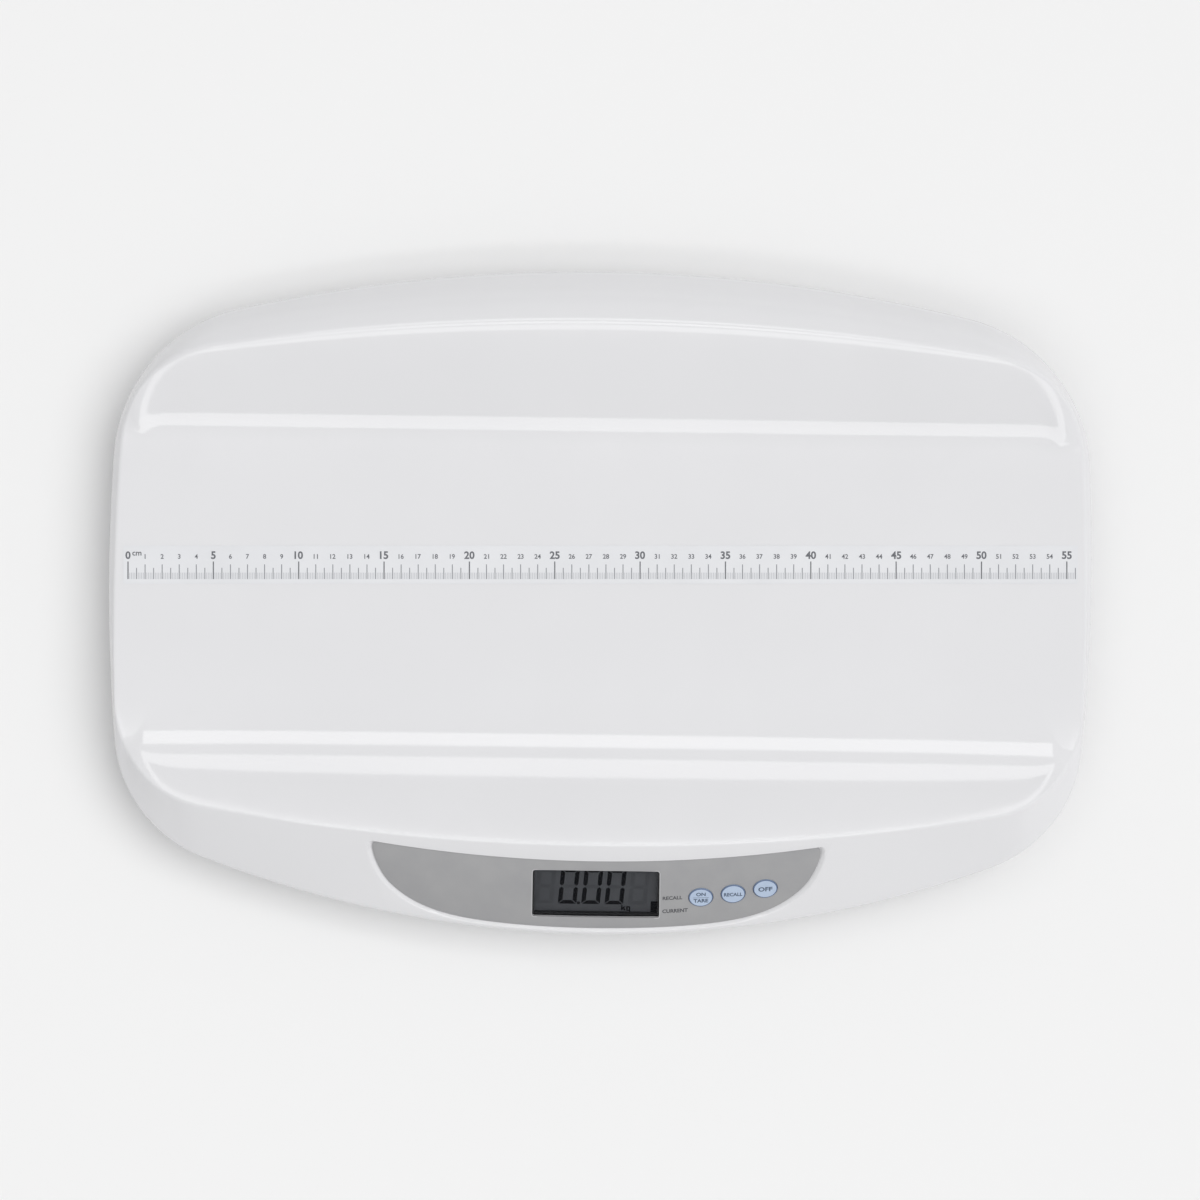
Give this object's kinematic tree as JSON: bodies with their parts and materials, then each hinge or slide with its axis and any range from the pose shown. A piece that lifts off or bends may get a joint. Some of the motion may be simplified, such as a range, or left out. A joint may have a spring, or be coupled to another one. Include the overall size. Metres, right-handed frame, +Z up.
{
  "type": "digital baby weighing scale",
  "caption": "Dished white weighing tray with a printed ruler, sloping console with a display and oval keys, on a load cell and base plate with rubber feet.",
  "frame": {"origin": "on the surface the feet stand on, below the centre of the tray's outline", "axes": "+X along the tray to the reader's right, +Y from the console to the back, +Z up"},
  "size_m": [0.5786, 0.39, 0.0655],
  "materials": {
    "tray_abs": "glossy white moulded ABS",
    "shell_abs": "finely spark-eroded white ABS",
    "base_abs": "satin light grey ABS",
    "foot_rubber": "matt dark grey rubber",
    "panel_film": "satin grey printed film",
    "key_plastic": "satin pale blue plastic",
    "label_film": "satin white printed film",
    "window_acrylic": "clear polished acrylic",
    "bezel_plastic": "matt dark plastic",
    "lcd_glass": "dark polarised glass",
    "silicone": "pale silicone",
    "board_laminate": "green solder mask on laminate",
    "component_black": "black moulded component bodies",
    "cell_aluminium": "machined and clear anodised",
    "steel": "zinc plated steel",
    "battery_wrap": "printed wrap on a steel can",
    "lead_sheath": "grey sheath"
  },
  "bodies": {
    "base": {"base_plate": "base_abs", "foot_front_left": "foot_rubber", "foot_front_right": "foot_rubber", "foot_back_left": "foot_rubber", "foot_back_right": "foot_rubber", "load_cell": "cell_aluminium", "gauge_coating": "silicone", "base_spacer": "steel", "base_bolt_1": "steel", "base_bolt_2": "steel", "stop_screw_front_left": "steel", "stop_screw_front_right": "steel", "stop_screw_back_left": "steel", "stop_screw_back_right": "steel"},
    "platform": {"tray": "tray_abs", "lower_shell": "shell_abs", "ruler_label": "label_film", "control_panel": "panel_film", "display_window": "window_acrylic", "display_bezel": "bezel_plastic", "display_glass": "lcd_glass", "elastomer_connector": "silicone", "main_board": "board_laminate", "processor": "component_black", "bracket_spacer": "steel", "platform_bracket": "steel", "spring_contact": "steel", "flat_contact": "steel", "bridge_contact": "steel", "load_cell_lead": "lead_sheath", "battery_lead": "lead_sheath", "bracket_screw_front_left": "steel", "bracket_screw_front_right": "steel", "bracket_screw_back_left": "steel", "bracket_screw_back_right": "steel", "shell_screw_left": "steel", "shell_screw_right": "steel", "shell_screw_back_left": "steel", "shell_screw_back_right": "steel", "shell_screw_front_left": "steel", "shell_screw_front_right": "steel", "on_tare_switch": "component_black", "recall_switch": "component_black", "off_switch": "component_black", "bracket_bolt_1": "steel", "bracket_bolt_2": "steel", "board_screw_left": "steel", "board_screw_right": "steel", "battery_front_inner": "battery_wrap", "battery_front_outer": "battery_wrap", "battery_back_inner": "battery_wrap", "battery_back_outer": "battery_wrap"},
    "battery_cover": {"battery_cover": "shell_abs"},
    "on_tare_key": {"on_tare_key": "key_plastic", "on_tare_plunger": "silicone"},
    "recall_key": {"recall_key": "key_plastic", "recall_plunger": "silicone"},
    "off_key": {"off_key": "key_plastic", "off_plunger": "silicone"}
  },
  "joints": [
    {"name": "platform_slide", "type": "slide", "parent": "base", "child": "platform", "axis": [0, 0, -1], "range_m": [0, 0.0008], "stiffness_N_per_m": 400000, "deforming": ["load_cell"]},
    {"name": "battery_cover_slide", "type": "slide", "parent": "platform", "child": "battery_cover", "axis": [0, 1, 0], "range_m": [0, 0.045]},
    {"name": "on_tare_press", "type": "slide", "parent": "platform", "child": "on_tare_key", "axis": [0, 0.5029, -0.8643], "range_m": [0, 0.0005], "stiffness_N_per_m": 3000},
    {"name": "recall_press", "type": "slide", "parent": "platform", "child": "recall_key", "axis": [0, 0.5029, -0.8643], "range_m": [0, 0.0005], "stiffness_N_per_m": 3000},
    {"name": "off_press", "type": "slide", "parent": "platform", "child": "off_key", "axis": [0, 0.5029, -0.8643], "range_m": [0, 0.0005], "stiffness_N_per_m": 3000}
  ]
}
